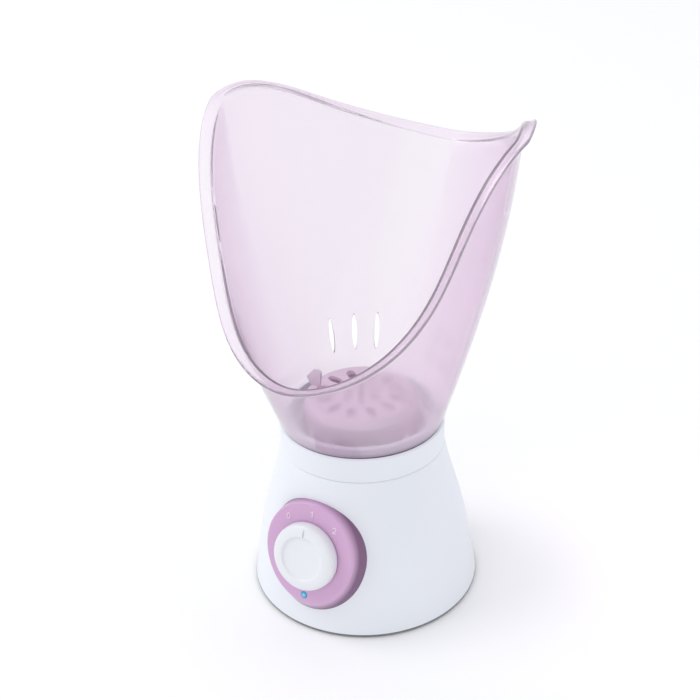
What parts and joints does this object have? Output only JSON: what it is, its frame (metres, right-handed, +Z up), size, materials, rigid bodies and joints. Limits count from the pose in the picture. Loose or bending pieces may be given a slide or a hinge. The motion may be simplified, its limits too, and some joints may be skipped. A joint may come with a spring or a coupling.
{
  "type": "facial steamer",
  "caption": "Tabletop facial steamer: bell-shaped heated water base with a rotary control, lift-off aroma cup and lid, and a flared clear face mask.",
  "frame": {"origin": "on the table, under the centre of the round base, midway between its four feet", "axes": "+Z up along the axis of the base, collar and bowl; -Y towards the user, where the control knob is; +X to the right seen from the front; the YZ plane is the plane of symmetry"},
  "size_m": [0.1912, 0.2058, 0.2955],
  "materials": {
    "white_shell": "satin moulded plastic",
    "pink_panel": "satin moulded plastic",
    "white_knob": "satin moulded plastic",
    "clear_pink": "polished clear tinted plastic",
    "white_marks": "matt print",
    "lens": "polished clear plastic",
    "bowl_metal": "spun",
    "silicone": "matt",
    "heater_metal": "cast",
    "steel": "zinc plated",
    "black_plastic": "moulded",
    "ceramic": "steatite",
    "board": "glass epoxy",
    "brass": "machined",
    "rubber": "matt",
    "wire_sleeve": "silicone sleeve"
  },
  "bodies": {
    "base": {"base_housing": "white_shell", "collar_ring": "white_shell", "control_bezel": "pink_panel", "dial_marks": "white_marks", "indicator_lens": "lens", "indicator_lamp": "lens", "lamp_board": "board", "rotary_switch": "black_plastic", "switch_nut": "brass", "base_plate": "white_shell", "base_screws": "steel", "rubber_feet": "rubber", "cord_gland": "rubber", "terminal_block": "ceramic", "terminal_screws": "brass", "supply_lead": "wire_sleeve", "switched_lead": "wire_sleeve", "heater_lead": "wire_sleeve", "return_lead": "wire_sleeve", "heating_bowl": "bowl_metal", "bowl_gasket": "silicone", "heater_disc": "heater_metal", "heater_clamp": "steel", "clamp_screws": "steel", "thermostat": "black_plastic", "thermal_fuse": "ceramic"},
    "knob": {"control_knob": "white_knob", "switch_shaft": "brass"},
    "mask": {"face_mask": "clear_pink"},
    "aroma_holder": {"aroma_cup": "clear_pink"},
    "aroma_cover": {"aroma_lid": "clear_pink"}
  },
  "joints": [
    {"name": "knob_turn", "type": "hinge", "parent": "base", "child": "knob", "pos_m": [0, -0.06458, 0.0515], "axis": [0, -0.9668, 0.2554], "range_deg": [-38, 38]},
    {"name": "mask_lift", "type": "slide", "parent": "base", "child": "mask", "axis": [0, 0, 1], "range_m": [0, 0.12]},
    {"name": "aroma_lift", "type": "slide", "parent": "base", "child": "aroma_holder", "axis": [0, 0, 1], "range_m": [0, 0.08]},
    {"name": "lid_lift", "type": "slide", "parent": "aroma_holder", "child": "aroma_cover", "axis": [0, 0, 1], "range_m": [0, 0.03]}
  ]
}
